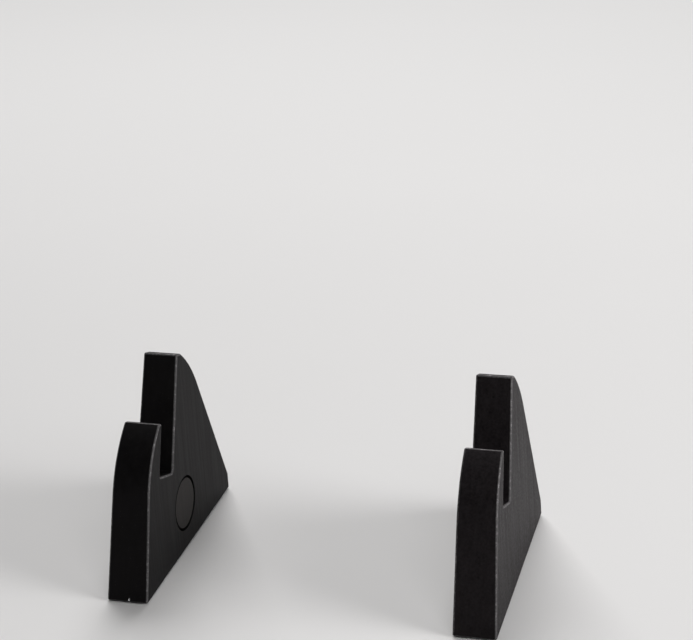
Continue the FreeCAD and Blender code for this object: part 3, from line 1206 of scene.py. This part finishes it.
@dataclass(frozen=True)
class Studio:
    """Floor, lamps, world and camera."""

    floor_size: float = 8.0
    world_light: Colour = (0.02, 0.02, 0.02)
    # sines of the height over the horizon where the haze is still full and where it ends
    haze_band: Span = (math.sin(math.radians(2)), math.sin(math.radians(9)))
    azimuth: float = math.radians(16.442)
    elevation: float = math.radians(22.456)
    roll: float = math.radians(-3.042)
    distance: float = 0.51446
    aim: tuple[float, float, float] = (0.00865, 0.0, 0.07802)
    lens: float = 93.91
    lamps: tuple[Softbox, ...] = (
        Softbox("side_softbox", azimuth=86, elevation=18, distance=1.2, width=0.6, share=0.28),
        Softbox("back_softbox", azimuth=-162, elevation=48, distance=1.8, width=1.2, share=0.68),
        Softbox("front_softbox", azimuth=32, elevation=50, distance=0.7, width=0.3, share=0.11),
    )

    def build(self, finish: PaleFloor, effects: Effects) -> None:
        """Set up everything round the object.

        Args:
            finish: The floor's finish.
            effects: The shared node groups.
        """
        bpy.ops.mesh.primitive_plane_add(size=self.floor_size, location=(0.0, 0.0, 0.0))
        floor = bpy.context.object
        floor.name = "floor"
        floor.data.materials.append(finish.material(effects))
        for lamp in self.lamps:
            lamp.build()
        bpy.context.scene.world = self.world(finish.haze)
        bpy.context.scene.view_settings.view_transform = "Standard"
        self.set_camera()

    def world(self, haze: Colour) -> bpy.types.World:
        """A dim world with a pale band low over the horizon, which shows but lights nothing.

        Args:
            haze: The colour of the band.

        Returns:
            The world.
        """
        world = bpy.data.worlds.new("studio")
        world.use_nodes = True
        board = NodeBoard(world.node_tree)
        towards = board.add("ShaderNodeTexCoord").outputs["Generated"]
        height = board.add("ShaderNodeSeparateXYZ", {0: towards}).outputs["Z"]
        share = board.math("MULTIPLY", board.ramp(height, *self.haze_band, (1.0, 0.0)), seen_ray(board))
        board.fill(world.node_tree.nodes["Background"], {"Color": board.mix(share, self.world_light, haze)})
        return world

    def set_camera(self) -> None:
        """Place the camera by its angles round the point that it aims at."""
        camera = bpy.data.objects.new("camera", bpy.data.cameras.new("camera"))
        bpy.context.scene.collection.objects.link(camera)
        back = direction(self.azimuth, self.elevation)
        level = back.to_track_quat("Z", "Y")
        camera.location = Vector(self.aim) + back * self.distance
        camera.rotation_mode = "QUATERNION"
        camera.rotation_quaternion = level @ Quaternion(ALONG_Z, self.roll)
        camera.data.lens = self.lens
        bpy.context.scene.camera = camera


def main() -> None:
    """Build the finishes, the feet and the studio, in order."""
    logging.basicConfig(level=logging.INFO, format="%(name)s: %(message)s")
    effects = Effects()
    coats = {
        Side.LEFT: SatinBlackCoat().material(effects),
        # the right foot gets a lighter, glossier copy of the left foot's coat: painted light, for the
        # brighter light that falls on it
        Side.RIGHT: SatinBlackCoat(
            "greyer_black_coat", deep=(0.0024, 0.0019, 0.0021), raised=(0.0160, 0.0136, 0.0146),
            speck=(0.0010, 0.0008, 0.0009), reflection=(1.0, 0.89, 0.93), grain_size=0.65 * MM,
            grain_depth=0.028 * MM, streak_share=0.4, smoothest=0.42, roughest=0.70,
            gloss=0.14).material(effects),
    }
    cap_coat = SatinBlackCoat(
        "warm_cap_coat", deep=(0.0050, 0.0040, 0.0036), raised=(0.0140, 0.0120, 0.0112),
        reflection=(1.0, 0.92, 0.90), streak_width=0.8 * MM, gloss=0.155).material(effects)
    # painted shade for the ring round each cap
    seam = PaintedShadeSeam().material(effects)
    metal = GrainyMetal().material(effects)
    plate = GrainyMetal("nickel_plate", bright=(0.72, 0.70, 0.66), dull=(0.58, 0.56, 0.53),
                        grain_size=0.8 * MM, smoothest=0.14, roughest=0.3).material(effects)
    rubber = RibbedRubber().material(effects)
    for side in Side:
        Foot(side, coats[side], cap_coat, seam, metal, plate, rubber).build()
    Studio().build(PaleFloor(), effects)


if __name__ == "__main__":
    main()
